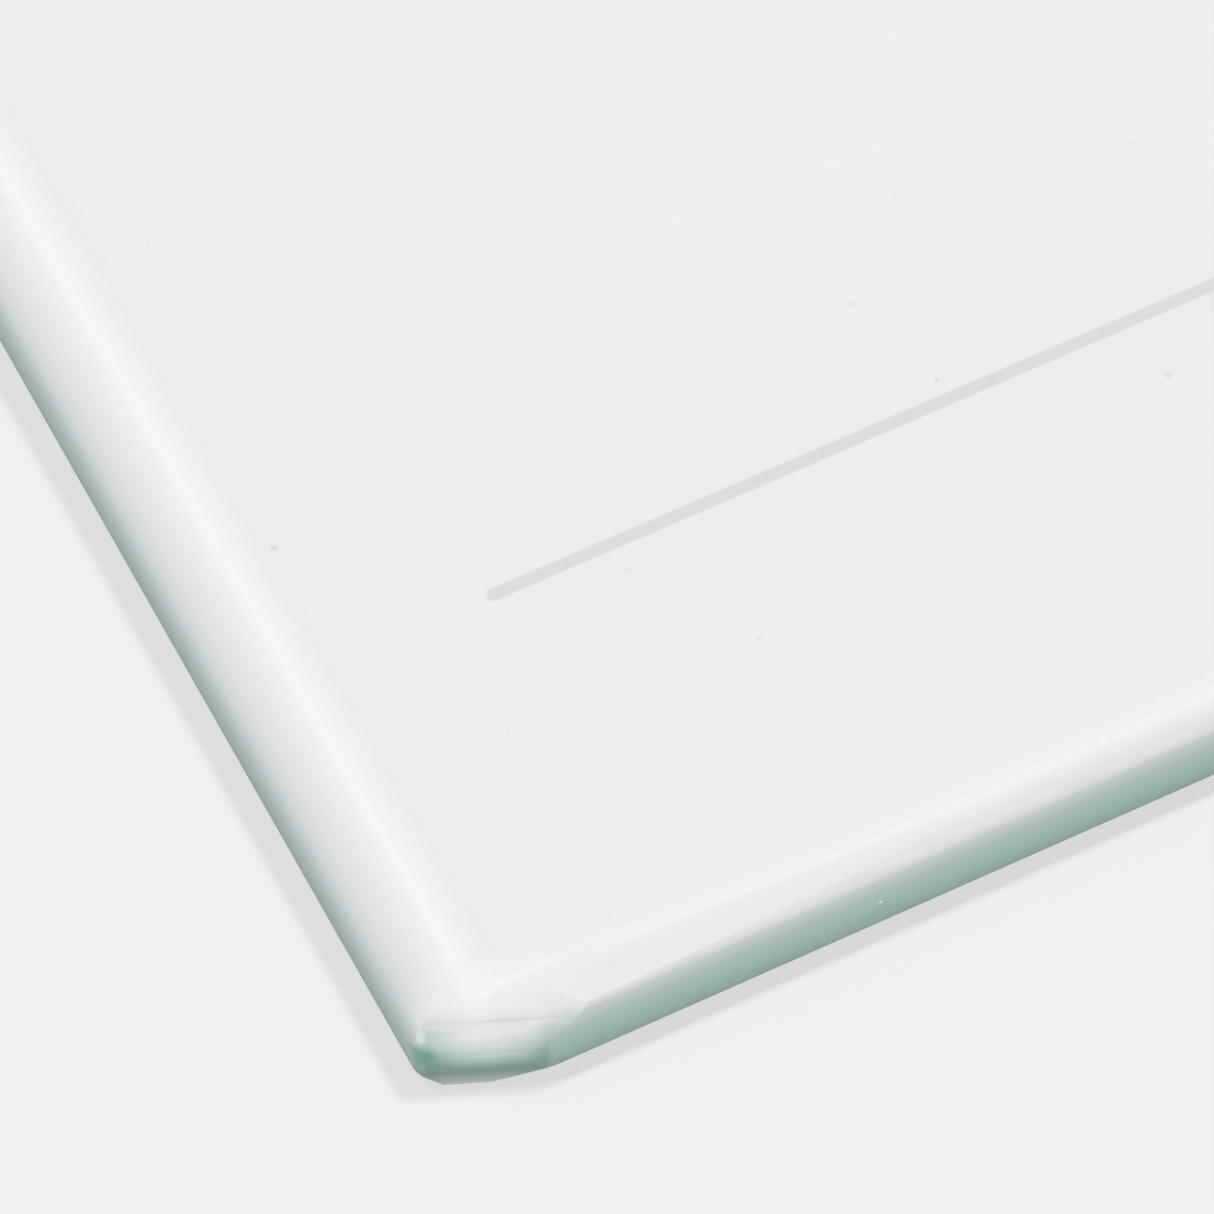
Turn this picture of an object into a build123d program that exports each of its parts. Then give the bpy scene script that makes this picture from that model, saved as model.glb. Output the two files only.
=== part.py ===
from build123d import *
import os
from math import atan2, cos, degrees, radians, sin, tan

# Hemocytometer: a thick glass counting chamber slide and the cover glass that lies on it.
# Millimetres. +X along the slide, +Y across it, +Z up. The origin is the centre of the base.

os.makedirs("parts", exist_ok=True)

# ---- Slide blank: one plate of float glass ----
SLIDE_LENGTH = 75.0
SLIDE_WIDTH = 35.0
SLIDE_THICKNESS = 3.0
LONG_EDGE_ROUND = 1.33     # radius of the polished upper arris of the two long edges
END_ROUND = 0.78           # radius of the ground upper arris of the two short ends
BASE_BEVEL = 0.8           # ground lower arris of all four edges
END_FLARE_REACH = 9.0      # from a long edge to where an end's arris starts to widen
END_FLARE_ANGLE = 2.6      # degrees by which it then widens towards the corner
END_FLARE_SLOPE = 22.0     # degrees below level of the flat that widens it
CLIP_ALONG = 1.1           # taken off the long edges at each corner of the plan
CLIP_ACROSS = 2.6          # taken off the short ends at each corner
CLIP_ROUND = 1.4           # radius of the clipped corners' upper arris
CLIP_BASE_BEVEL = 0.3      # their lower arris
LONG_EDGE_BLEND = 0.3      # radius that eases a clip into the long edge
END_BLEND = 1.2            # radius that eases a clip into the short end

# ---- Moats: the H of grooves ground around the two counting platforms ----
PLATFORM_WIDTH = 9.0       # along X, between the two long moats
MOAT_WIDTH = 3.0
MOAT_DEPTH = 1.0           # below the cover supports
MOAT_FLOOR_RADIUS = 0.35   # corner radius of the grinding wheel
MOAT_LIP = 0.12            # bevel that takes the sharpness off the supports' edges
CROSS_MOAT_WIDTH = 3.0     # between the front and the rear platform
PLATFORM_END = 13.0        # from the slide's centre line to a platform's outer end

# ---- Counting areas ----
CHAMBER_DEPTH = 0.1        # from the supports down to the ruled surface
FILM_THICKNESS = 0.01      # the mirror film that carries the ruling
FILM_SIDE_MARGIN = 0.5     # bare glass between the film and the long moats
FILM_LENGTH = 7.0          # along Y
RULING_CENTRE = 5.6        # from the slide's centre line to the middle of a ruling
RULING_BLOCK = 1.0         # side of one of the nine large squares
CORNER_DIVISIONS = 4       # columns of cells in a corner square
CENTRE_DIVISIONS = 5       # columns of group squares in the central square
RULING_LINE_WIDTH = 0.02
RULING_LINE_DEPTH = 0.005

# ---- Loading notches: where the pipette tip stands ----
NOTCH_WIDTH = 2.6          # at the platform's outer end
NOTCH_DEPTH = 0.6          # at the platform's outer end
NOTCH_REACH = 1.2          # how far its point lies under the cover glass

# ---- Cover glass ----
COVER_LENGTH = 22.0        # along X, from support to support
COVER_WIDTH = 22.0
COVER_THICKNESS = 0.4
COVER_CORNER_RADIUS = 0.4
COVER_ARRIS = 0.04
COVER_SEAT_GAP = 0.002     # air left under a cover glass that is pressed on

# ---- End lines: one engraved, colour-filled line across each end ----
END_LINE_INSET = 9.65      # from the short end to the line's axis
END_LINE_MARGIN = 5.9      # from a long edge to the line's rounded tip
END_LINE_WIDTH = 0.34
END_LINE_DEPTH = 0.03

# ---- Derived levels and places ----
SUPPORT_LEVEL = SLIDE_THICKNESS
MOAT_LEVEL = SUPPORT_LEVEL - MOAT_DEPTH
RULED_LEVEL = SUPPORT_LEVEL - CHAMBER_DEPTH
PLATFORM_LEVEL = RULED_LEVEL - FILM_THICKNESS
MOAT_AXIS = (PLATFORM_WIDTH + MOAT_WIDTH) / 2
NOTCH_POINT = COVER_WIDTH / 2 - NOTCH_REACH
FILM_WIDTH = PLATFORM_WIDTH - 2 * FILM_SIDE_MARGIN
END_LINE_LENGTH = SLIDE_WIDTH - 2 * END_LINE_MARGIN
END_LINE_AXIS = SLIDE_LENGTH / 2 - END_LINE_INSET
CUT_ABOVE = 1.0            # how far a cutter stands out of the glass
FRONT, REAR = -1, 1


def edge_profile(breadth, upper_round, lower_bevel):
    """Upright section of a plate, standing on the base: rounded upper and bevelled lower arrises."""
    section = Pos(0, SLIDE_THICKNESS / 2) * Rectangle(breadth, SLIDE_THICKNESS)
    section = fillet(section.vertices().group_by(Axis.Y)[-1], upper_round)
    return chamfer(section.vertices().group_by(Axis.Y)[0], lower_bevel)


def plate_between(section, heading, run):
    """Extrude a section so that its breadth lies at `heading` degrees from +X."""
    upright = Plane.XZ.rotated((0, 0, heading))
    return extrude(upright * section, run / 2, both=True)


def plan_outline():
    """The slide seen from above: a rectangle with clipped corners that are eased into its edges."""
    half_length = SLIDE_LENGTH / 2
    half_width = SLIDE_WIDTH / 2
    corner = [(half_length, half_width - CLIP_ACROSS), (half_length - CLIP_ALONG, half_width)]
    rear_half = corner + [(-x, y) for x, y in reversed(corner)]
    front_half = [(-x, -y) for x, y in rear_half]
    outline = make_face(Polyline(*rear_half, *front_half, close=True))
    rows = outline.vertices().group_by(Axis.Y)
    outline = fillet(rows[0] + rows[-1], LONG_EDGE_BLEND)
    columns = outline.vertices().group_by(Axis.X)
    return fillet(columns[0] + columns[-1], END_BLEND)


def flare_profile():
    """Section whose sloping shoulders, turned by the flare angle, widen an end's arris."""
    turn = radians(END_FLARE_ANGLE)
    start_along = SLIDE_LENGTH / 2 - END_ROUND
    start_across = SLIDE_WIDTH / 2 - END_FLARE_REACH
    shoulder = start_along * cos(turn) + start_across * sin(turn)
    clear_of_end = SLIDE_LENGTH / 2 + CUT_ABOVE
    drop = (clear_of_end - shoulder) * tan(radians(END_FLARE_SLOPE))
    half = [(shoulder, SLIDE_THICKNESS), (clear_of_end, SLIDE_THICKNESS - drop), (clear_of_end, 0)]
    return make_face(Polyline(*half, *[(-x, z) for x, z in reversed(half)], close=True))


def slide_blank():
    """The plate before it is grooved: what all the ways of grinding its edges leave in common."""
    clip_heading = atan2(CLIP_ALONG, CLIP_ACROSS)
    clip_along = (SLIDE_LENGTH / 2 - CLIP_ALONG) * cos(clip_heading)
    clip_across = SLIDE_WIDTH / 2 * sin(clip_heading)
    ends = edge_profile(SLIDE_LENGTH, END_ROUND, BASE_BEVEL)
    sides = edge_profile(SLIDE_WIDTH, LONG_EDGE_ROUND, BASE_BEVEL)
    clips = edge_profile(2 * (clip_along + clip_across), CLIP_ROUND, CLIP_BASE_BEVEL)
    past_corners = SLIDE_LENGTH + SLIDE_WIDTH
    blank = extrude(plan_outline(), SLIDE_THICKNESS)
    blank &= plate_between(ends, 0, SLIDE_WIDTH)
    blank &= plate_between(sides, 90, SLIDE_LENGTH)
    for side in (-1, 1):
        blank &= plate_between(flare_profile(), side * END_FLARE_ANGLE, past_corners)
        blank &= plate_between(clips, side * degrees(clip_heading), past_corners)
    return blank


def wheel_groove(width, lip):
    """Section of a ground groove: square walls, a rounded floor, an eased lip. Y is up."""
    body = Pos(0, MOAT_LEVEL) * Rectangle(width, MOAT_DEPTH + CUT_ABOVE, align=(Align.CENTER, Align.MIN))
    body = fillet(body.vertices().group_by(Axis.Y)[0], MOAT_FLOOR_RADIUS)
    if lip:
        half = width / 2
        flare = Polyline(
            (-half, SUPPORT_LEVEL - lip),
            (half, SUPPORT_LEVEL - lip),
            (half + lip + CUT_ABOVE, SUPPORT_LEVEL + CUT_ABOVE),
            (-half - lip - CUT_ABOVE, SUPPORT_LEVEL + CUT_ABOVE),
            close=True,
        )
        body += make_face(flare)
    return body


def long_moat(side):
    """One of the two grooves that run right across the slide."""
    groove = plate_between(wheel_groove(MOAT_WIDTH, MOAT_LIP), 0, SLIDE_WIDTH + CUT_ABOVE)
    return Pos(side * MOAT_AXIS, 0, 0) * groove


def cross_moat():
    """The groove between the two platforms, from long moat to long moat."""
    return plate_between(wheel_groove(CROSS_MOAT_WIDTH, 0), 90, 2 * MOAT_AXIS)


def end_ledge(end):
    """The floor beyond a platform's outer end, ground out to the slide's long edge."""
    reach = SLIDE_WIDTH / 2 + CUT_ABOVE - PLATFORM_END
    groove = plate_between(wheel_groove(2 * reach, 0), 90, 2 * MOAT_AXIS)
    return Pos(0, end * (PLATFORM_END + reach), 0) * groove


def platform_skim():
    """What is taken off the strip between the long moats, down to the platforms' own level."""
    depth = SUPPORT_LEVEL - PLATFORM_LEVEL + CUT_ABOVE
    skim = Box(2 * MOAT_AXIS, SLIDE_WIDTH, depth, align=(Align.CENTER, Align.CENTER, Align.MIN))
    return Pos(0, 0, PLATFORM_LEVEL) * skim


def loading_notch(end):
    """V-shaped notch that deepens and widens from its point out to the platform's end."""
    run = PLATFORM_END - NOTCH_POINT
    half_slope = NOTCH_WIDTH / 2 / NOTCH_DEPTH
    overrun = (run + CUT_ABOVE) / run
    depth = NOTCH_DEPTH * overrun
    mouth = Polyline(
        (-half_slope * depth, 0, 0),
        (half_slope * depth, 0, 0),
        (0, 0, -depth),
        close=True,
    )
    mouth_face = Pos(0, end * (PLATFORM_END + CUT_ABOVE), PLATFORM_LEVEL) * make_face(mouth)
    return loft([mouth_face, Vertex(0, end * NOTCH_POINT, PLATFORM_LEVEL)])


def end_line(side, depth_above):
    """The bar with rounded tips that an end line fills, or its cutter with a height above the glass."""
    bar = SlotOverall(END_LINE_LENGTH, END_LINE_WIDTH, rotation=90)
    solid = extrude(bar, END_LINE_DEPTH + depth_above)
    return Pos(side * END_LINE_AXIS, 0, SUPPORT_LEVEL - END_LINE_DEPTH) * solid


def chamber_slide():
    """The ground and polished slide."""
    slide = slide_blank()
    cutters = [long_moat(side) for side in (-1, 1)]
    cutters += [end_ledge(end) for end in (FRONT, REAR)]
    cutters += [cross_moat(), platform_skim()]
    for cutter in cutters:
        slide -= cutter
    for end in (FRONT, REAR):
        slide -= loading_notch(end)
    for side in (-1, 1):
        slide -= end_line(side, CUT_ABOVE)
    return slide


def ruling_stations():
    """Distances of the ruling's lines from its middle, the same along X and along Y."""
    half = 1.5 * RULING_BLOCK
    outer = [half - RULING_BLOCK * step / CORNER_DIVISIONS for step in range(CORNER_DIVISIONS + 1)]
    pitch = RULING_BLOCK / CENTRE_DIVISIONS
    inner = [RULING_BLOCK / 2 - pitch * step for step in range(1, CENTRE_DIVISIONS)]
    return outer + inner + [-station for station in outer]


def ruling():
    """The lattice of fine grooves, as one cutter that stands on the ruling's floor."""
    length = 3 * RULING_BLOCK + RULING_LINE_WIDTH
    upright_line = Rectangle(RULING_LINE_WIDTH, length)
    level_line = Rectangle(length, RULING_LINE_WIDTH)
    stations = ruling_stations()
    lattice = Sketch() + [Pos(station, 0) * upright_line for station in stations]
    lattice += [Pos(0, station) * level_line for station in stations]
    return extrude(lattice, RULING_LINE_DEPTH + CUT_ABOVE)


def counting_film(end):
    """Mirror film on a platform, with the counting ruling cut into its surface."""
    bottom = (Align.CENTER, Align.CENTER, Align.MIN)
    film = Box(FILM_WIDTH, FILM_LENGTH, FILM_THICKNESS, align=bottom)
    film -= Pos(0, 0, FILM_THICKNESS - RULING_LINE_DEPTH) * ruling()
    return Pos(0, end * RULING_CENTRE, PLATFORM_LEVEL) * film


def cover_glass():
    """The optically flat cover glass, seated on the two supports."""
    outline = RectangleRounded(COVER_LENGTH, COVER_WIDTH, COVER_CORNER_RADIUS)
    cover = extrude(outline, COVER_THICKNESS)
    rims = cover.faces().sort_by(Axis.Z)
    cover = chamfer(rims[0].edges() + rims[-1].edges(), COVER_ARRIS)
    return Pos(0, 0, SUPPORT_LEVEL + COVER_SEAT_GAP) * cover


PARTS = {
    "chamber_slide": chamber_slide(),
    "cover_glass": cover_glass(),
    "front_counting_film": counting_film(FRONT),
    "rear_counting_film": counting_film(REAR),
    "left_end_line": end_line(-1, 0),
    "right_end_line": end_line(1, 0),
}

for node, solid in PARTS.items():
    export_step(solid, f"parts/{node}.step")
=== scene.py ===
import math

import bmesh
import bpy
from mathutils import Matrix, Vector


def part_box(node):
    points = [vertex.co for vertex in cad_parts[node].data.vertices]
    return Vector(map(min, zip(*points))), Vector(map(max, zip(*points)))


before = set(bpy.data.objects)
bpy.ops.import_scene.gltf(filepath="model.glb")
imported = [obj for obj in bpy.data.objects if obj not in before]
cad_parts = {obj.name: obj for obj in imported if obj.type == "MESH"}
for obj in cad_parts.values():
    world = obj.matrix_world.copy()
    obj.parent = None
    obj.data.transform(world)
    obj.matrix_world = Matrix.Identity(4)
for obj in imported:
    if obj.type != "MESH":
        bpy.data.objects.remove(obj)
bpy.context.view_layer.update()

MM = 0.001
slide_far_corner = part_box("chamber_slide")[1]
half_length = slide_far_corner.x
half_width = slide_far_corner.y
support_level = slide_far_corner.z

# ---- Forms of the slide, as built in the CAD model ----
base_bevel = 0.8 * MM           # lower arris of the four edges
long_rounding = 1.35 * MM       # how far the polished rounding reaches in from a long edge
end_arris = 0.80 * MM           # how far the ground arris reaches in from an end
flare_start = 8.5 * MM          # from the slide's axis; beyond it that arris widens
flare_rate = 0.0454             # how much it widens, per step across the slide
clip_across = 2.6 * MM          # what a clip takes off the end
clip_along = 1.1 * MM           # what it takes off the long edge
clip_rounding = 1.4 * MM
clip_bevel = 0.3 * MM           # lower arris of the clipped corners
clip_facing = Vector((clip_across, clip_along)).normalized()
clip_middle = Vector((half_length - 0.51 * MM, half_width - 1.39 * MM))
clip_start = half_width - clip_across
end_crease_reach = 1.31 * MM    # along a clip, from its middle to its crease with the end
long_crease_reach = 1.51 * MM   # the same, to its crease with the long edge
end_crease_slant = 0.72         # how far a crease moves along the clip, per step across the slide
long_crease_slant = 0.64
moat_half_reach = 7.7 * MM      # the long moats' outer lips, from the middle of the slide
moat_floor = 2.0 * MM
platform_level = 2.89 * MM
ruled_level = 2.9 * MM
ruling_centre = 5.6 * MM
line_width = 0.34 * MM
line_axis = half_length - 9.65 * MM     # from the middle of the slide
line_half_run = 11.43 * MM      # from the middle to the centre of a line's rounded tip
level_margin = 0.01 * MM        # what lies less than this below a level counts as on it

# ---- Edges: the painted green, light and shade of the glass's edges, and the wheel's marks ----
green_top = 2.62 * MM           # the green of an upright edge fades out at this height
end_grain = 1500.0              # per metre
end_grain_squeeze = (0.3, 0.5, 3.0)
wheel_waver = 0.5 * MM          # how far the grinding makes the green's height waver
wheel_streaks = (0.45, 0.75)    # the part of the wheel's grain that shows as darker streaks
end_tones_reach = 0.8 * MM      # how far below the face the painted light and shade of an end's arris run
end_facing = (0.5, 0.9)         # how squarely a surface faces along the slide, to count as an end
end_facing_share = (0.7, 0.9)   # the same, as a share of how far it leans at all
clip_facing_share = (0.98, 0.997)       # that share for a clip, along the clip's own facing

# ---- Brinks: painted highlights, the face's bright rim before each rounding ----
long_brink = (-0.8 * MM, -0.05 * MM)    # from nothing to full, measured from where the rounding begins
end_brink = (-0.35 * MM, 0.0)
clip_brink = (-0.3 * MM, 0.0)
long_brink_share = 0.6
end_brink_share = 0.3
clip_brink_share = 0.25
brink_levels = (support_level - 0.06 * MM, support_level - 0.005 * MM)
dusty_brink = 0.01              # dust lies only where the brink is fainter than this

# ---- Clipped corners: their painted light and shade ----
clip_hollow = 370.0             # per metre: how steeply the green rises towards a clip's two sides
highest_rise = 0.6 * MM
rise_sets_in = (0.85 * MM, 1.6 * MM)    # heights over which the green begins to rise at the sides
rise_dies_away = (2.3 * MM, 2.42 * MM)
clip_run = (-1.3 * MM, 1.2 * MM)        # along a clip, from its end side to its long side
clip_upper_part = (1.8 * MM, 2.2 * MM)  # above it the creases bound a clip, and below it its facing does
end_crease_blend = (0.08 * MM, -0.16 * MM)
long_crease_blend = (0.4 * MM, -0.4 * MM)
crescent_level = 2.42 * MM      # the faint dark mark across a clip
crescent_half_height = 0.05 * MM
crescent_offset = 0.45 * MM     # from the clip's middle, towards the end
crescent_tips = (0.3 * MM, 1.1 * MM)    # from the crescent's own middle
crescent_share = 0.13
face_corner = Vector((half_length - 1.19 * MM, half_width - 1.33 * MM))
corner_highlight_half_width = 0.12 * MM         # half the width of the painted highlight line round that corner
long_arm_sides = (0.3 * MM, 0.05 * MM)  # how the long edge's painted highlight fades out over a clip
long_arm_tip = (0.15 * MM, -0.15 * MM)

# ---- Small marks: a painted shade and a painted glint at each corner, and a chip on an end ----
corner_shade = {
    "centre": Vector((half_length - 1.1 * MM, half_width, 1.46 * MM)),
    "radius": 0.44 * MM,
    "colour": (0.11, 0.35, 0.26, 1),
}
corner_glint = {
    "centre": Vector((half_length - 1.18 * MM, half_width - 0.15 * MM, 2.14 * MM)),
    "radius": 0.13 * MM,
    "colour": (0.93, 0.945, 0.95, 1),
    "tall": 2.2,
    "share": 0.7,
}
end_chip = {
    "centre": Vector((half_length, -7.2 * MM, 1.655 * MM)),
    "radius": 0.055 * MM,
    "colour": (0.9, 0.92, 0.91, 1),
}

# ---- Dust, in cells of one grain each ----
dust_cells = 200.0              # per metre of the face
dust_smallest = 0.009           # a grain's radius, as a share of its cell
dust_growth = 0.013             # how much larger the largest is
dust_faintest = 0.05
dust_darkening = 0.24           # how much stronger the strongest is
dust_edge = (0.2, 1.0)          # where a grain fades out, as shares of its radius

# ---- Moats and underside ----
moat_grain = 900.0              # per metre
moat_grain_squeeze = (6.0, 0.15, 1.0)
below_moats = 0.1 * MM          # the moats' paint ends this far below their floor
moat_end_margin = 0.06 * MM     # and this far from a long edge
moat_frost = 0.4
moat_frost_marks = 0.3          # how much more frosted the wheel's marks are
moat_shade = 0.5                # the share of that frost which holds a lamp's light back
underside_level = 0.005 * MM    # what lies lower rests on the bench, with no air between

# ---- Cover glass, enamel and films ----
cover_edge_lean = (0.2, 0.6)
cover_edge_share = 0.5
enamel_grain = 5000.0           # per metre
enamel_thins = (0.32 * line_width, 0.58 * line_width)   # from a line's axis
film_grain = 700.0              # per metre
film_roughness = 0.32
film_haze = 0.12                # how much rougher the haziest places are
ruling_block = 1.0 * MM
small_square = 0.05 * MM
fine_line_share = 0.12          # of a small square's side
ruling_half_depth = 0.0025 * MM

# ---- Camera ----
camera_azimuth = 63.20
camera_elevation = 58.76
camera_lens = 355.9
camera_distance = 253.3 * MM
aim_from_end = 8.294 * MM
aim_from_edge = 8.07 * MM

# ---- Studio ----
bench_half_side = 3.0
bench_drop = 0.02 * MM          # how far the bench lies below the slide's underside
sky_overhead = 1.032
sky_horizon = 0.412
studio_lamps = {                # where from, and the share of the light that falls on the bench
    "overhead_lamp": ((0.0, 0.22, 1.0), 0.145),
    "front_lamp": ((0.0, -0.32, 1.0), 0.05),
}
lamp_spread = 7.0               # degrees


class Value:
    """A node's output socket that takes part in Python arithmetic."""

    def __init__(self, paint, socket):
        self.paint = paint
        self.socket = socket

    def maths(self, operation, *others):
        sockets = dict(enumerate((self, *others)))
        return self.paint.node("ShaderNodeMath", {"operation": operation}, sockets)

    def __add__(self, other):
        return self.maths("ADD", other)

    def __radd__(self, other):
        return self.maths("ADD", other)

    def __sub__(self, other):
        return self.maths("SUBTRACT", other)

    def __rsub__(self, other):
        return self.paint.node("ShaderNodeMath", {"operation": "SUBTRACT"}, {0: other, 1: self})

    def __mul__(self, other):
        return self.maths("MULTIPLY", other)

    def __rmul__(self, other):
        return self.maths("MULTIPLY", other)

    def __truediv__(self, other):
        return self.maths("DIVIDE", other)

    def __gt__(self, other):
        return self.maths("GREATER_THAN", other)

    def __lt__(self, other):
        return self.maths("LESS_THAN", other)

    def absolute(self):
        return self.maths("ABSOLUTE")

    def larger(self, other):
        return self.maths("MAXIMUM", other)

    def smaller(self, other):
        return self.maths("MINIMUM", other)

    def root(self):
        return self.maths("SQRT")

    def ridge(self):
        """1 at every whole number, 0 halfway between."""
        return 1 - 2 * self.maths("PINGPONG", 0.5)

    def within(self, nothing, full):
        """0 at nothing, 1 at full, a straight ramp between; either may be the larger."""
        settings = {"interpolation_type": "LINEAR", "clamp": True}
        return self.paint.node("ShaderNodeMapRange", settings, {0: self, 1: nothing, 2: full})

    def ramp(self, stops):
        """Colours or grey levels along 0 to 1."""
        return self.paint.node("ShaderNodeValToRGB", {"stops": stops}, {0: self})


class Paint:
    """A material's node tree."""

    def __init__(self, name):
        self.material = bpy.data.materials.new(name)
        self.material.use_nodes = True
        self.tree = self.material.node_tree
        self.tree.nodes.clear()
        self.output = self.tree.nodes.new("ShaderNodeOutputMaterial")

    def node(self, kind, settings=None, inputs=None, output=0):
        made = self.tree.nodes.new(kind)
        for key, value in (settings or {}).items():
            if key == "stops":
                self.set_stops(made.color_ramp, value)
            else:
                setattr(made, key, value)
        for key, value in (inputs or {}).items():
            if isinstance(value, Value):
                self.tree.links.new(value.socket, made.inputs[key])
            else:
                made.inputs[key].default_value = value
        return Value(self, made.outputs[output])

    def set_stops(self, ramp, stops):
        ramp.elements[0].position = stops[0][0]
        ramp.elements[1].position = stops[-1][0]
        for place, _ in stops[1:-1]:
            ramp.elements.new(place)
        for element, (_, colour) in zip(ramp.elements, stops):
            element.color = colour if isinstance(colour, tuple) else (colour, colour, colour, 1)

    def axes(self, vector):
        return [self.node("ShaderNodeSeparateXYZ", {}, {0: vector}, axis) for axis in range(3)]

    def place(self):
        """Object coordinates, whole and as three values."""
        where = self.node("ShaderNodeTexCoord", output="Object")
        return where, self.axes(where)

    def facing(self):
        """The surface's direction, as three values."""
        return self.axes(self.node("ShaderNodeNewGeometry", output="Normal"))

    def vector(self, operation, *sockets, output=0):
        return self.node("ShaderNodeVectorMath", {"operation": operation}, dict(enumerate(sockets)), output)

    def mix_colour(self, share, first, second, blend="MIX"):
        settings = {"data_type": "RGBA", "blend_type": blend}
        return self.node("ShaderNodeMix", settings, {0: share, 6: first, 7: second}, 2)

    def mix_shader(self, share, first, second):
        return self.node("ShaderNodeMixShader", {}, {0: share, 1: first, 2: second})

    def mark(self, under, where, centre, radius, colour, tall=1.0, share=1.0):
        """A round mark over the colour under it, or an upright oval where tall is more than 1."""
        away = self.vector("SUBTRACT", where, centre)
        squeezed = self.vector("MULTIPLY", away, (1, 1, 1 / tall))
        apart = self.vector("LENGTH", squeezed, output=1)
        strength = share * (1 - apart.within(0.5 * radius, radius))
        return self.mix_colour(strength, under, colour)

    def grain(self, where, scale, squeeze=(1.0, 1.0, 1.0)):
        """Noise from 0 to 1, with its cells squeezed along each axis."""
        squeezed = self.node("ShaderNodeMapping", {}, {"Vector": where, "Scale": squeeze})
        return self.node("ShaderNodeTexNoise", {}, {"Vector": squeezed, "Scale": scale, "Detail": 3.0})

    def finish_with(self, surface, volume=None):
        self.tree.links.new(surface.socket, self.output.inputs["Surface"])
        if volume is not None:
            self.tree.links.new(volume.socket, self.output.inputs["Volume"])
        return self.material


def clear_glass(paint):
    return paint.node("ShaderNodeBsdfPrincipled", {}, {
        "Base Color": (1, 1, 1, 1),
        "Roughness": 0.0,
        "IOR": 1.52,
        "Transmission Weight": 1.0,
    })


def let_lamps_through(paint, body, share, wetted=0.0):
    """Glass that lamps shine through, by share, instead of the caustics that they would throw."""
    towards_lamp = paint.node("ShaderNodeLightPath", output="Is Shadow Ray")
    clear = paint.node("ShaderNodeBsdfTransparent", {}, {"Color": (1, 1, 1, 1)})
    return paint.mix_shader((towards_lamp * share).larger(wetted), body, clear)


def long_edge_light_and_shade(lean):
    """Painted light and shade of the polished rounding of the long edges, from level to upright: a painted
    highlight where it begins, greyer and then greener as it turns upright.
    """
    return lean.ramp([
        (0.0, (0.98, 0.98, 0.98, 1)),
        (0.05, (0.97, 0.97, 0.97, 1)),
        (0.12, (0.925, 0.925, 0.925, 1)),
        (0.2, (0.878, 0.878, 0.88, 1)),
        (0.34, (0.842, 0.842, 0.845, 1)),
        (0.56, (0.815, 0.817, 0.822, 1)),
        (0.72, (0.81, 0.814, 0.82, 1)),
        (0.87, (0.807, 0.808, 0.825, 1)),
        (0.92, (0.78, 0.779, 0.80, 1)),
        (0.966, (0.72, 0.74, 0.76, 1)),
        (0.99, (0.645, 0.69, 0.70, 1)),
        (1.0, (0.55, 0.595, 0.58, 1)),
    ])


def end_light_and_shade(paint, drop, lean):
    """Painted light and shade of the ground arris and face of the ends, by how far they lie below the upper
    face: a painted highlight at the top, greener further down.
    """
    by_drop = drop.within(0.0, end_tones_reach).ramp([
        (0.0, (0.99, 0.99, 0.99, 1)),
        (0.03, (0.925, 0.925, 0.925, 1)),
        (0.06, (0.895, 0.895, 0.895, 1)),
        (0.1, (0.875, 0.875, 0.875, 1)),
        (0.165, (0.85, 0.85, 0.852, 1)),
        (0.25, (0.855, 0.855, 0.857, 1)),
        (0.375, (0.87, 0.872, 0.876, 1)),
        (0.515, (0.833, 0.859, 0.852, 1)),
        (0.625, (0.723, 0.776, 0.767, 1)),
        (0.74, (0.65, 0.727, 0.71, 1)),
        (0.875, (0.67, 0.765, 0.74, 1)),
        (1.0, (0.59, 0.71, 0.675, 1)),
    ])
    # Painted light: evens out how the lean changes the shading, so that no crease shows
    shading_by_lean = lean.ramp([
        (0.0, 0.95),
        (0.3, 0.965),
        (0.38, 0.95),
        (0.56, 0.985),
        (0.8, 1.0),
        (0.9, 0.98),
        (1.0, 0.96),
    ])
    return paint.mix_colour(1.0, by_drop, shading_by_lean, "MULTIPLY")


def green_and_shade_by_height(height):
    """The green that light takes on inside the glass, painted onto the edges, with painted shade deepest
    where an upright edge meets the lower arris.
    """
    return height.within(base_bevel, green_top).ramp([
        (0.0, (0.345, 0.488, 0.43, 1)),
        (0.22, (0.45, 0.682, 0.60, 1)),
        (0.48, (0.61, 0.803, 0.743, 1)),
        (0.65, (0.722, 0.853, 0.822, 1)),
        (0.83, (0.885, 0.942, 0.93, 1)),
        (1.0, (1, 1, 1, 1)),
    ])


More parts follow.
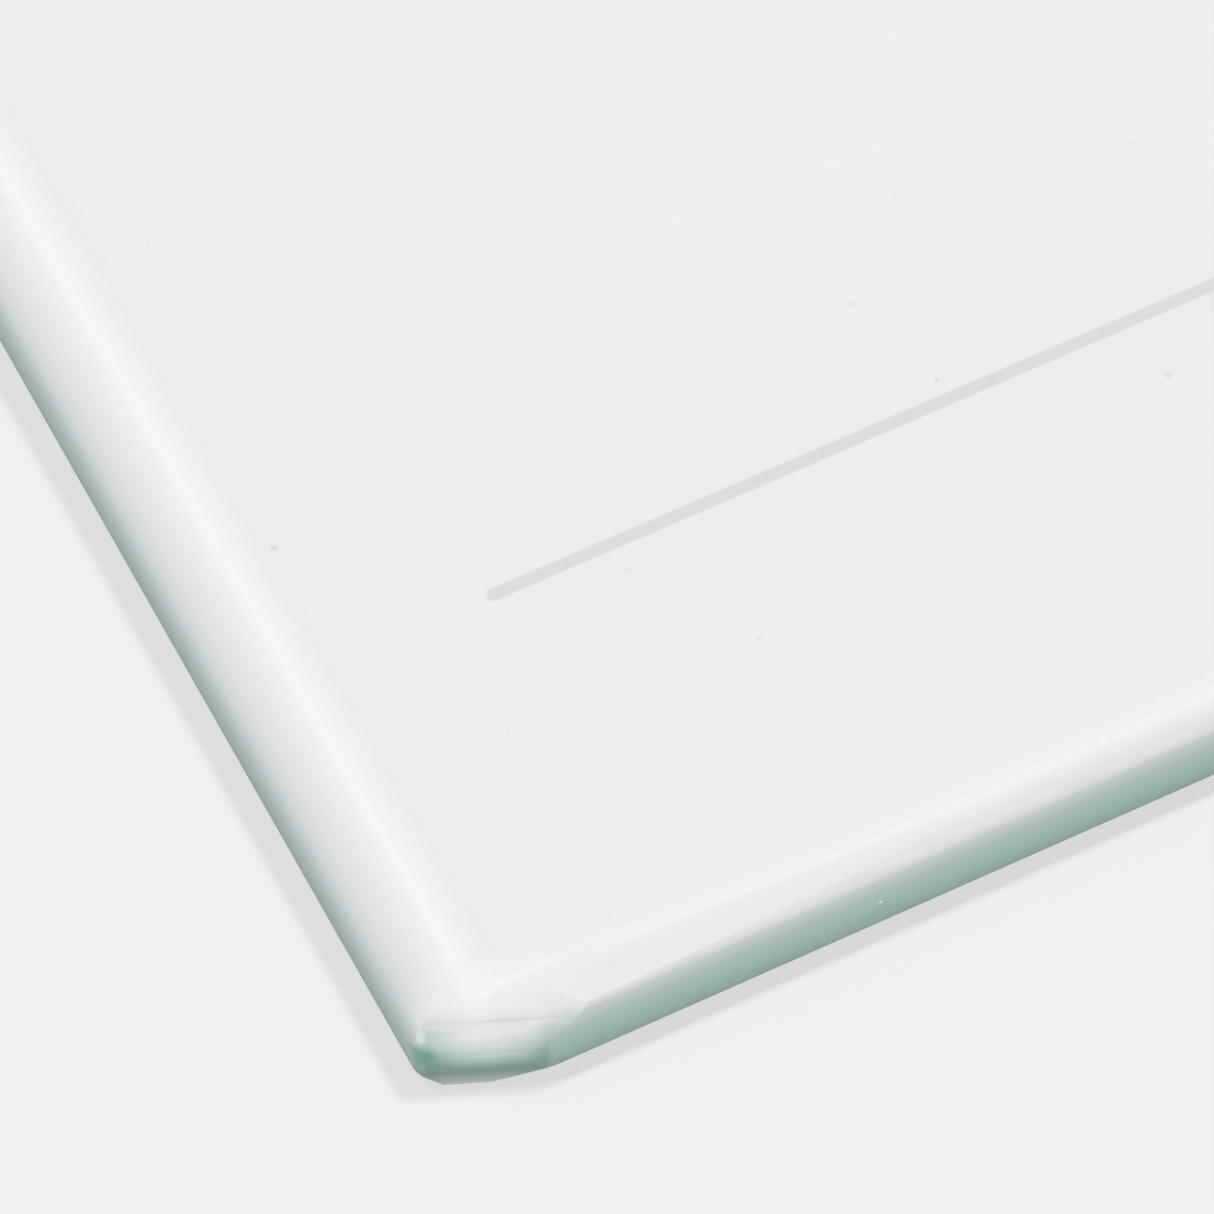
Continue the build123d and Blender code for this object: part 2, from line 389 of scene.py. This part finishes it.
def clip_light_and_shade(paint, aside, height, past_end_arm, past_long_arm):
    """Painted light and shade of a clipped corner: white above, dark green below, higher up towards its two
    sides, with painted highlights round the face's corner.
    """
    rise = (aside * aside * clip_hollow).smaller(highest_rise)
    rise = rise * height.within(*rise_sets_in) * (1 - height.within(*rise_dies_away))
    by_height = (height - rise).within(clip_bevel, support_level).ramp([
        (0.0, (0.50, 0.56, 0.53, 1)),
        (0.055, (0.36, 0.44, 0.41, 1)),
        (0.11, (0.265, 0.366, 0.31, 1)),
        (0.185, (0.127, 0.278, 0.211, 1)),
        (0.24, (0.153, 0.324, 0.26, 1)),
        (0.3, (0.28, 0.488, 0.404, 1)),
        (0.395, (0.527, 0.69, 0.653, 1)),
        (0.49, (0.70, 0.805, 0.783, 1)),
        (0.57, (0.83, 0.877, 0.866, 1)),
        (0.637, (0.93, 0.945, 0.945, 1)),
        (0.74, (0.925, 0.93, 0.93, 1)),
        (0.785, (0.88, 0.885, 0.885, 1)),
        (0.815, (0.91, 0.91, 0.91, 1)),
        (0.848, (0.945, 0.945, 0.945, 1)),
        (0.88, (0.94, 0.94, 0.94, 1)),
        (0.91, (0.915, 0.915, 0.915, 1)),
        (1.0, (0.905, 0.905, 0.905, 1)),
    ])
    # Painted light: lighter or darker along the clip
    light_by_side = aside.within(*clip_run).ramp([
        (0.0, 0.925),
        (0.12, 0.945),
        (0.24, 0.955),
        (0.4, 0.97),
        (0.52, 1.0),
        (0.7, 1.0),
        (0.84, 0.99),
        (1.0, 0.985),
    ])
    colour = paint.mix_colour(1.0, by_height, light_by_side, "MULTIPLY")

    beside_crescent = (aside + crescent_offset).absolute().within(*crescent_tips)
    off_crescent = (height - crescent_level).absolute().within(0.0, crescent_half_height)
    crescent = crescent_share * (1 - beside_crescent) * (1 - off_crescent)
    colour = paint.mix_colour(crescent, colour, (0.0, 0.0, 0.0, 1))

    # Inside the face's corner, painted to the face's brightness, with a painted highlight line round it
    past_corner = past_end_arm.larger(past_long_arm)
    colour = paint.mix_colour(past_corner < 0.0, colour, (0.89, 0.89, 0.89, 1))
    painted_highlight_line = 1 - past_corner.absolute().within(0.0, corner_highlight_half_width)
    colour = paint.mix_colour(painted_highlight_line, colour, (0.95, 0.95, 0.95, 1))
    # The long edge's painted highlight, running on over the clip
    bright = past_long_arm.within(*long_brink) * past_long_arm.within(*long_arm_sides)
    bright = bright * past_end_arm.within(*long_arm_tip)
    return paint.mix_colour(bright, colour, (0.98, 0.98, 0.98, 1))


def dust(paint, where):
    """Grains of dust, no two alike in size or darkness."""
    cells = {"Vector": where, "Scale": dust_cells}
    away = paint.node("ShaderNodeTexVoronoi", {"voronoi_dimensions": "2D"}, cells)
    grain = paint.node("ShaderNodeTexVoronoi", {"voronoi_dimensions": "2D"}, cells, "Color")
    size = paint.node("ShaderNodeSeparateColor", {}, {0: grain}, 0)
    darkness = paint.node("ShaderNodeSeparateColor", {}, {0: grain}, 1)
    radius = dust_smallest + dust_growth * size
    return (1 - (away / radius).within(*dust_edge)) * (dust_faintest + dust_darkening * darkness * darkness)


def slide_glass():
    """Float glass: polished faces and long edges, ground ends, corner clips and moats, with the light, shade
    and green of its edges painted into a satin layer.
    """
    paint = Paint("slide_glass")
    where, (along, across, height) = paint.place()
    facing = paint.facing()
    lean = (facing[0] * facing[0] + facing[1] * facing[1]).root()
    endwards, edgewards = along.absolute(), across.absolute()
    flare = (edgewards - flare_start).larger(0.0) * flare_rate
    past_end = endwards + flare - (half_length - end_arris)
    past_edge = edgewards - (half_width - long_rounding)
    off_middle, off_axis = endwards - clip_middle.x, edgewards - clip_middle.y
    past_clip = off_middle * clip_facing.x + off_axis * clip_facing.y + clip_rounding
    aside = off_axis * clip_facing.x - off_middle * clip_facing.y
    past_end_arm, past_long_arm = endwards - face_corner.x, edgewards - face_corner.y

    # The two ends and the two long edges: their light, shade and green are painted
    end_streaks = paint.grain(where, end_grain, end_grain_squeeze)
    on_end = facing[0].absolute().within(*end_facing)
    faces_end = (facing[0].absolute() / lean).within(*end_facing_share)
    # Painted light and shade of the ground arris and face of the ends
    ground = end_light_and_shade(paint, support_level - height, lean)
    colour = paint.mix_colour(faces_end, long_edge_light_and_shade(lean), ground)
    wavering = (end_streaks - 0.5) * on_end * wheel_waver
    colour = paint.mix_colour(1.0, colour, green_and_shade_by_height(height + wavering), "MULTIPLY")

    # The clipped corners, with their painted light and shade
    facing_clip = (facing[0].absolute() * clip_facing.x + facing[1].absolute() * clip_facing.y) / lean
    past_long_crease = aside + long_crease_slant * (half_width - edgewards) - long_crease_reach
    past_end_crease = end_crease_slant * (edgewards - clip_start) - aside - end_crease_reach
    between_creases = past_long_crease.within(*long_crease_blend) * past_end_crease.within(*end_crease_blend)
    between_creases = between_creases * (past_clip > clip_brink[0])
    upper_part = height.within(*clip_upper_part)
    on_clip = between_creases * upper_part + facing_clip.within(*clip_facing_share) * (1 - upper_part)
    clip_shading = clip_light_and_shade(paint, aside, height, past_end_arm, past_long_arm)
    colour = paint.mix_colour(on_clip, colour, clip_shading)
    quarter = paint.vector("ABSOLUTE", where)
    # A painted shade at the foot of each corner, and a painted glint on its crease
    colour = paint.mark(colour, quarter, **corner_shade)
    colour = paint.mark(colour, quarter, **corner_glint)

    # Streaks and a chip on the ends
    streaked = on_end * end_streaks.within(*wheel_streaks)
    colour = paint.mix_colour(streaked, colour, (0.91, 0.94, 0.93, 1), "MULTIPLY")
    colour = paint.mark(colour, where, **end_chip)

    # How far the surface is satin, the layer that carries the painted light and shade: the more the edges
    # lean, and at the brinks, which are painted highlights, and the dust
    rim = past_end.larger(past_edge).larger(past_clip) > 0.0
    edge_share = rim * lean.ramp([
        (0.0, 0.0),
        (0.02, 0.25),
        (0.06, 0.47),
        (0.2, 0.55),
        (0.5, 0.88),
        (1.0, 0.95),
    ])
    brink = long_brink_share * past_edge.within(*long_brink)
    brink = brink.larger(end_brink_share * past_end.within(*end_brink))
    brink = brink.larger(clip_brink_share * past_clip.within(*clip_brink))
    brink = brink * height.within(*brink_levels)
    grains = dust(paint, where) * (height > support_level - level_margin) * (brink < dusty_brink)
    colour = paint.mix_colour(grains > 0.0, colour, (0.32, 0.32, 0.33, 1))
    edge_share = edge_share.larger(brink).larger(grains)

    # The ground moats
    sunk = (endwards < moat_half_reach) * (height < platform_level - level_margin)
    sunk = sunk * (height > moat_floor - below_moats) * (edgewards < half_width - moat_end_margin)
    wheel_marks = paint.grain(where, moat_grain, moat_grain_squeeze)
    moat_share = sunk * (moat_frost + moat_frost_marks * wheel_marks)
    colour = paint.mix_colour(sunk, colour, (0.84, 0.88, 0.87, 1))

    marks = paint.node("ShaderNodeBump", {}, {
        "Strength": 0.25, "Distance": 0.02 * MM, "Height": wheel_marks * sunk + end_streaks * on_end,
    })
    satin = paint.node("ShaderNodeBsdfPrincipled", {}, {
        "Base Color": colour,
        "Roughness": 0.38,
        "IOR": 1.52,
        "Normal": marks,
    })
    body = paint.mix_shader(edge_share.larger(moat_share), clear_glass(paint), satin)
    lit_through = 1 - edge_share.larger(moat_shade * moat_share)
    surface = let_lamps_through(paint, body, lit_through, height < underside_level)
    tint = paint.node("ShaderNodeVolumeAbsorption", {}, {"Color": (0.25, 0.66, 0.34, 1), "Density": 7.5})
    return paint.finish_with(surface, tint)


def cover_glass():
    """Thin, nearly colourless glass with a cut edge that looks green along its depth."""
    paint = Paint("cover_glass")
    upright = 1 - paint.facing()[2].absolute()
    satin = paint.node("ShaderNodeBsdfPrincipled", {}, {
        "Base Color": (0.55, 0.72, 0.66, 1),
        "Roughness": 0.3,
        "IOR": 1.52,
    })
    body = paint.mix_shader(cover_edge_share * upright.within(*cover_edge_lean), clear_glass(paint), satin)
    surface = let_lamps_through(paint, body, 1.0)
    tint = paint.node("ShaderNodeVolumeAbsorption", {}, {"Color": (0.4, 0.8, 0.7, 1), "Density": 3.0})
    return paint.finish_with(surface, tint)


def enamel():
    """Pale grey colour rubbed into an engraved line, thinner towards its edges."""
    paint = Paint("line_enamel")
    where, (along, across, _) = paint.place()
    beside = along.absolute() - line_axis
    beyond = (across.absolute() - line_half_run).larger(0.0)
    off_axis = (beside * beside + beyond * beyond).root()
    thin = off_axis.within(*enamel_thins)
    grain = paint.grain(where, enamel_grain)
    fill = paint.mix_colour(grain, (0.67, 0.685, 0.695, 1), (0.70, 0.715, 0.725, 1))
    colour = paint.mix_colour(thin, fill, (0.82, 0.825, 0.83, 1))
    body = paint.node("ShaderNodeBsdfPrincipled", {}, {"Base Color": colour, "Roughness": 0.5})
    return paint.finish_with(body)


def mirror_film():
    """Half-bright metal film with the finest squares of the ruling in its middle."""
    paint = Paint("mirror_film")
    where, (along, across, height) = paint.place()
    faces_up = paint.facing()[2] > 0.5
    engraved = (height < ruled_level - ruling_half_depth) * faces_up
    aside = across.absolute() - ruling_centre
    in_middle = along.absolute().larger(aside.absolute()) < ruling_block / 2
    fine_line = (along / small_square).ridge().larger((aside / small_square).ridge()) > 1 - fine_line_share
    haze = paint.grain(where, film_grain)
    metal = paint.mix_colour(haze, (0.66, 0.67, 0.69, 1), (0.72, 0.725, 0.735, 1))
    colour = paint.mix_colour((in_middle * fine_line).larger(engraved), metal, (0.22, 0.225, 0.24, 1))
    body = paint.node("ShaderNodeBsdfPrincipled", {}, {
        "Base Color": colour, "Roughness": film_roughness + film_haze * haze, "Metallic": 1.0,
    })
    return paint.finish_with(body)


def bench_white():
    paint = Paint("bench_white")
    body = paint.node("ShaderNodeBsdfPrincipled", {}, {
        "Base Color": (0.868, 0.852, 0.867, 1), "Roughness": 0.6, "Specular IOR Level": 0.2,
    })
    return paint.finish_with(body)


def dress_nodes():
    slide = slide_glass()
    cover = cover_glass()
    film = mirror_film()
    fill = enamel()
    finishes = {
        "chamber_slide": slide,
        "cover_glass": cover,
        "front_counting_film": film,
        "rear_counting_film": film,
        "left_end_line": fill,
        "right_end_line": fill,
    }
    for node, finish in finishes.items():
        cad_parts[node].material_slots[0].material = finish
    for node in ("chamber_slide", "cover_glass"):
        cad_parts[node].visible_diffuse = False
    for node in ("left_end_line", "right_end_line"):
        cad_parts[node].visible_shadow = False
        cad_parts[node].visible_glossy = False


def floor():
    sheet = bmesh.new()
    bmesh.ops.create_grid(sheet, x_segments=4, y_segments=4, size=bench_half_side)
    mesh = bpy.data.meshes.new("bench")
    sheet.to_mesh(mesh)
    sheet.free()
    bench = bpy.data.objects.new("bench", mesh)
    bpy.context.scene.collection.objects.link(bench)
    mesh.transform(Matrix.Translation((0, 0, -bench_drop)))
    mesh.materials.append(bench_white())


def sky():
    """A plain sky, brighter overhead than at the horizon."""
    world = bpy.data.worlds.new("studio")
    bpy.context.scene.world = world
    world.use_nodes = True
    tree = world.node_tree
    towards = tree.nodes.new("ShaderNodeTexCoord")
    parts = tree.nodes.new("ShaderNodeSeparateXYZ")
    tree.links.new(towards.outputs["Generated"], parts.inputs[0])
    by_height = tree.nodes.new("ShaderNodeMapRange")
    by_height.inputs[3].default_value = sky_horizon
    by_height.inputs[4].default_value = sky_overhead
    tree.links.new(parts.outputs[2], by_height.inputs[0])
    tree.links.new(by_height.outputs[0], tree.nodes["Background"].inputs["Strength"])
    tree.nodes["Background"].inputs["Color"].default_value = (1, 1, 1, 1)


def lamps():
    """Soft lamps that light what is matt, and throw no spots of glare on glass or metal."""
    for name, (from_where, share) in studio_lamps.items():
        lamp = bpy.data.lights.new(name, "SUN")
        direction = Vector(from_where).normalized()
        lamp.energy = share * math.pi / direction.z
        lamp.angle = math.radians(lamp_spread)
        holder = bpy.data.objects.new(name, lamp)
        bpy.context.scene.collection.objects.link(holder)
        holder.rotation_mode = "QUATERNION"
        holder.rotation_quaternion = direction.to_track_quat("Z", "Y")
        holder.visible_glossy = False
        holder.visible_transmission = False


def camera():
    azimuth, elevation = math.radians(camera_azimuth), math.radians(camera_elevation)
    back = Vector((
        math.sin(azimuth) * math.cos(elevation),
        -math.cos(azimuth) * math.cos(elevation),
        math.sin(elevation),
    ))
    aim = Vector((half_length - aim_from_end, aim_from_edge - half_width, support_level))
    lens = bpy.data.cameras.new("camera")
    lens.lens = camera_lens
    lens.clip_start = 0.01
    lens.clip_end = 20
    viewer = bpy.data.objects.new("camera", lens)
    bpy.context.scene.collection.objects.link(viewer)
    viewer.rotation_mode = "QUATERNION"
    viewer.location = aim + back * camera_distance
    viewer.rotation_quaternion = (-back).to_track_quat("-Z", "Y")
    bpy.context.scene.camera = viewer


dress_nodes()
floor()
sky()
lamps()
camera()
bpy.context.scene.view_settings.view_transform = "Standard"
bpy.context.scene.cycles.max_bounces = 64
bpy.context.scene.cycles.transmission_bounces = 64
bpy.context.scene.cycles.glossy_bounces = 64
bpy.context.scene.cycles.transparent_max_bounces = 40
